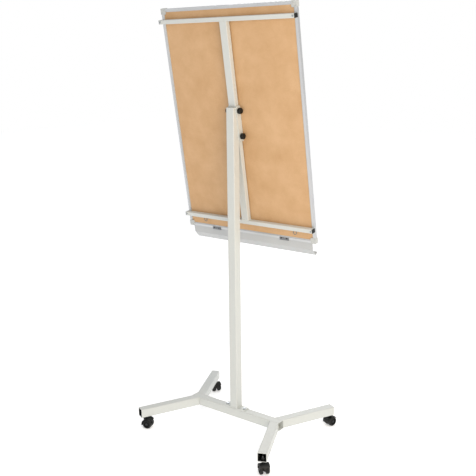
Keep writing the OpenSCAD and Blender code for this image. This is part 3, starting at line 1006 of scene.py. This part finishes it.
@dataclass
class TrayAndHooks:
    """Pen tray with its clips, and the wire hooks under the lower bar.

    Attributes:
        place: The board's frame.
        hook_mm: Distance of a hook from the middle, height of the bar's underside, hook's drop.
        curl_mm: Radius of the curl to the wire's middle.
        tip_mm: Height that the tip rises above the curl.
        wire_mm: Radius of the wire.
        bend_steps: Straight lengths that draw the curl.
    """

    place: BoardPlace
    hook_mm: tuple[float, float, float] = (250.0, -512.7, 12.0)
    curl_mm: float = 7.5
    tip_mm: float = 5.0
    wire_mm: float = 1.5
    bend_steps: int = 18

    def hook_path(self, x: float) -> list[Vector]:
        """Return the wire's middle line.

        Args:
            x: Distance of the hook from the middle of the board.

        Returns:
            Points from the bar down and round to the tip.
        """
        _, top, drop = self.hook_mm
        curl, low, sunk = self.curl_mm, top - drop, 0.2
        points = [self.place.at(x, 0, z) for z in (top + sunk, top - drop * 0.5, low)]
        for i in range(1, self.bend_steps + 1):
            turn = math.pi * i / self.bend_steps
            across, down = x - curl + curl * math.cos(turn), low - curl * math.sin(turn)
            points.append(self.place.at(across, 0, down))
        points.append(self.place.at(x - 2 * curl, 0, low + self.tip_mm))
        return points

    def make(self, wire: SweptWire, rivets: RivetRow) -> None:
        """Dress the tray and bend the hooks.

        Args:
            wire: Tree that sweeps wire.
            rivets: Tree that sets round heads, here the hooks' washers and tips.
        """
        dress(TRAY_GREY, "pen_tray")
        dress(DULL_ZINC, "tray_clips")
        dress(DARK_ZINC, "tray_screws")
        away, top, drop = self.hook_mm
        paths = seams(self.hook_path(away), self.hook_path(-away))
        bent = wire.grow(paths, GREY_WIRE, wire_radius=self.wire_mm * MM)
        hooks = piece("bent_hooks", bent, "board")
        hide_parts("wire_hooks")
        down = tuple(self.place.along(0, 0, -1))
        seats = [[self.place.at(sx * away, 0, top)] for sx in (1, -1)]
        washers = rivets.grow(
            seams(*seats), BRIGHT_ZINC, head_radius=4.8 * MM, flatness=0.3, facing=down
        )
        piece("hook_washers", washers, "board")
        inward, high = 2 * self.curl_mm, top - drop + self.tip_mm
        tips = [[self.place.at(sx * away - inward, 0, high)] for sx in (1, -1)]
        balls = rivets.grow(
            seams(*tips), GREY_WIRE, head_radius=2.1 * MM, flatness=1.0, facing=down
        )
        piece("hook_tips", balls, "board")


@dataclass
class Caster:
    """A swivelling caster with a hood and two wheels.

    Attributes:
        corner: Corner of the base that it stands at.
        side: Signs of its place along X and Y.
        heading_deg: Direction from its stem to its axle.
        stem_mm: Distance of its stem from the post's axis along X and Y.
        axle_mm: Trail and height of its axle.
        wheel_mm: Distance of a wheel's inner face from the middle, and depth of its dish's floor.
        rib_mid_mm: Height of a spoke's middle over the dish's floor.
    """

    corner: str
    side: tuple[int, int]
    heading_deg: float
    stem_mm: tuple[float, float] = (340.446, 258.298)
    axle_mm: tuple[float, float] = (16.0, 22.0)
    wheel_mm: tuple[float, float] = (7.0, 9.2)
    rib_mid_mm: float = 1.5

    def wheel_place(self, way: int) -> Matrix:
        """Return where a wheel's dish floor is.

        Args:
            way: 1 for the outer wheel, -1 for the inner one.

        Returns:
            Matrix from the dish floor's own frame, Z outwards, to the stand's.
        """
        x, y = (sign * away for sign, away in zip(self.side, self.stem_mm))
        stem = Matrix.Translation(Vector((x, y, 0)) * MM)
        swivel = Matrix.Rotation(math.radians(self.heading_deg), 4, "Z")
        inset, floor = self.wheel_mm
        out = way * (inset + floor + self.rib_mid_mm)
        axle = Matrix.Translation(Vector((self.axle_mm[0], out, self.axle_mm[1])) * MM)
        return stem @ swivel @ axle @ Matrix.Rotation(math.radians(-90 * way), 4, "X")

    def make(self, spokes: WheelSpokes) -> None:
        """Dress the caster and stand ribs in its wheels.

        Args:
            spokes: Tree that sets spokes.
        """
        dress(BLACK_ABS, f"caster_hood_{self.corner}")
        dress(DARK_ZINC, f"caster_axle_{self.corner}")
        dress(WHEEL_NYLON, f"wheel_outer_{self.corner}", f"wheel_inner_{self.corner}")
        for label, way in (("outer", 1), ("inner", -1)):
            ribs = spokes.grow(seams([Vector()]), WHEEL_NYLON)
            ribs.transform(self.wheel_place(way))
            wheel = f"{label}_{self.corner}"
            piece(f"spokes_{wheel}", ribs, f"wheel_{wheel}")


# ------------------------------------------------------------------------ studio


@dataclass
class Studio:
    """Pale floor, soft lights and the camera.

    Attributes:
        eye: Camera's place in metres.
        azimuth_deg: Direction that it looks in, turned from +Y.
        pitch_deg: Angle above the horizon that it looks at.
        roll_deg: Turn about its own axis.
        lens_mm: Focal length on a 36 mm sensor.
        aim: Point that the lamps face, in metres.
        floor_half: Half the floor's side, in metres.
        floor_lift: Light that the pale floor adds, so that it runs into the white behind it.
        room_light: Strength of the white room's own light.
        sky: Strength of the soft sky light, and its angle in degrees.
        sky_turn_deg: Turn of the soft sky light about X and Y.
    """

    eye: tuple[float, float, float] = (-2.0398, 2.6093, 1.6719)
    azimuth_deg: float = 217.716
    pitch_deg: float = -13.044
    roll_deg: float = -0.616
    lens_mm: float = 58.11
    aim: tuple[float, float, float] = (0.0, 0.0, 0.9)
    floor_half: float = 14.0
    floor_lift: float = 0.38
    room_light: float = 0.53
    sky: tuple[float, float] = (0.5, 50.0)
    sky_turn_deg: tuple[float, float] = (-14.0, -24.0)

    def camera(self) -> None:
        """Make the camera."""
        turn, pitch, roll = map(math.radians, (self.azimuth_deg, self.pitch_deg, self.roll_deg))
        flat = math.cos(pitch)
        ahead = Vector((-math.sin(turn) * flat, math.cos(turn) * flat, math.sin(pitch)))
        level = Vector((math.cos(turn), math.sin(turn), 0.0))
        above = level.cross(ahead)
        right = level * math.cos(roll) + above * math.sin(roll)
        up = above * math.cos(roll) - level * math.sin(roll)
        data = bpy.data.cameras.new("studio camera")
        data.lens, data.sensor_width, data.clip_end = self.lens_mm, SENSOR_MM, 100.0
        made = bpy.data.objects.new("studio camera", data)
        rows = Matrix((right, up, -ahead)).transposed()
        made.matrix_world = Matrix.Translation(Vector(self.eye)) @ rows.to_4x4()
        bpy.context.scene.collection.objects.link(made)
        bpy.context.scene.camera = made

    def lamp(self, name: str, place: Vector, size: float, power: float, hex_colour: str) -> None:
        """Hang a square soft light.

        Args:
            name: Its name.
            place: Where it hangs, in metres.
            size: Its side, in metres.
            power: Its power in watts.
            hex_colour: Its colour, sRGB hex.
        """
        data = bpy.data.lights.new(name, "AREA")
        data.size, data.energy, data.color = size, power, linear(hex_colour)[:3]
        made = bpy.data.objects.new(name, data)
        made.location = place
        made.rotation_mode = "QUATERNION"
        made.rotation_quaternion = (Vector(self.aim) - place).to_track_quat("-Z", "Y")
        bpy.context.scene.collection.objects.link(made)

    def floor(self) -> None:
        """Lay the pale floor."""
        half = self.floor_half
        corners = [(-half, -half, 0), (half, -half, 0), (half, half, 0), (-half, half, 0)]
        mesh = bpy.data.meshes.new("floor")
        mesh.from_pydata(corners, [], [(0, 1, 2, 3)])
        paint = FLOOR_PAINT.make()
        nodes = paint.node_tree.nodes
        shader = next(node for node in nodes if node.type == "BSDF_PRINCIPLED")
        shader.inputs["Emission Color"].default_value = linear("#FFFFFF")
        shader.inputs["Emission Strength"].default_value = self.floor_lift
        mesh.materials.append(paint)
        made = bpy.data.objects.new("floor", mesh)
        bpy.context.scene.collection.objects.link(made)

    def make(self) -> None:
        """Make the whole studio."""
        world = bpy.data.worlds.new("soft white room")
        world.use_nodes = True
        world.node_tree.nodes.clear()
        tree = world.node_tree
        cool, white = linear("#FBFCFF"), linear("#FFFFFF")
        glow = add(tree, "ShaderNodeBackground", {"Color": cool, "Strength": self.room_light})
        wall = add(tree, "ShaderNodeBackground", {"Color": white, "Strength": 1.0})
        seen = add(tree, "ShaderNodeLightPath").outputs["Is Camera Ray"]
        both = add(tree, "ShaderNodeMixShader", {0: seen, 1: glow.outputs[0], 2: wall.outputs[0]})
        add(tree, "ShaderNodeOutputWorld", {"Surface": both.outputs[0]})
        bpy.context.scene.world = world
        bpy.context.scene.view_settings.view_transform = "Standard"
        self.lamp("warm side light", Vector((-2.2, 1.4, 1.7)), 1.4, 34.0, "#FFF0D8")
        self.lamp("front fill light", Vector((1.6, -3.2, 2.4)), 1.8, 30.0, "#FFFFFF")
        sky = bpy.data.lights.new("soft sky light", "SUN")
        sky.energy, sky.angle = self.sky[0], math.radians(self.sky[1])
        hung = bpy.data.objects.new("soft sky light", sky)
        hung.rotation_euler = (*map(math.radians, self.sky_turn_deg), 0)
        bpy.context.scene.collection.objects.link(hung)
        self.floor()
        self.camera()


def main() -> None:
    """Build the looks piece by piece."""
    logging.basicConfig(level=logging.INFO, format="%(message)s")
    weld = WeldBead("weld bead", {"bead radius": 0.002, "pitch": 0.0015, "seed": 7})
    up = (0.0, 0.0, 1.0)
    rivets = RivetRow("rivet row", {"head radius": 0.002, "flatness": 0.4, "facing": up})
    ribs = RibStrip("rib strip", {"rib radius": 0.001, "rib length": 0.01, "facing": up})
    wire = SweptWire("swept wire", {"wire radius": 0.0015})
    spokes = WheelSpokes(
        "wheel spokes",
        {
            "count": 10,
            "inner radius": 7.5 * MM,
            "outer radius": 14.4 * MM,
            "thickness": 1.6 * MM,
            "depth": 4.0 * MM,
        },
    )
    place = BoardPlace()
    Base().make(weld)
    Carrier(place).make(weld)
    FramedBoard(place).make(rivets)
    PaperClamp(place).make(ribs)
    TrayAndHooks(place).make(wire, rivets)
    for corner, side, heading in (
        ("front_right", (1, -1), 152.0),
        ("front_left", (-1, -1), -105.0),
        ("rear_right", (1, 1), 200.0),
        ("rear_left", (-1, 1), 140.0),
    ):
        Caster(corner, side, heading).make(spokes)
    Studio().make()


if __name__ == "__main__":
    main()
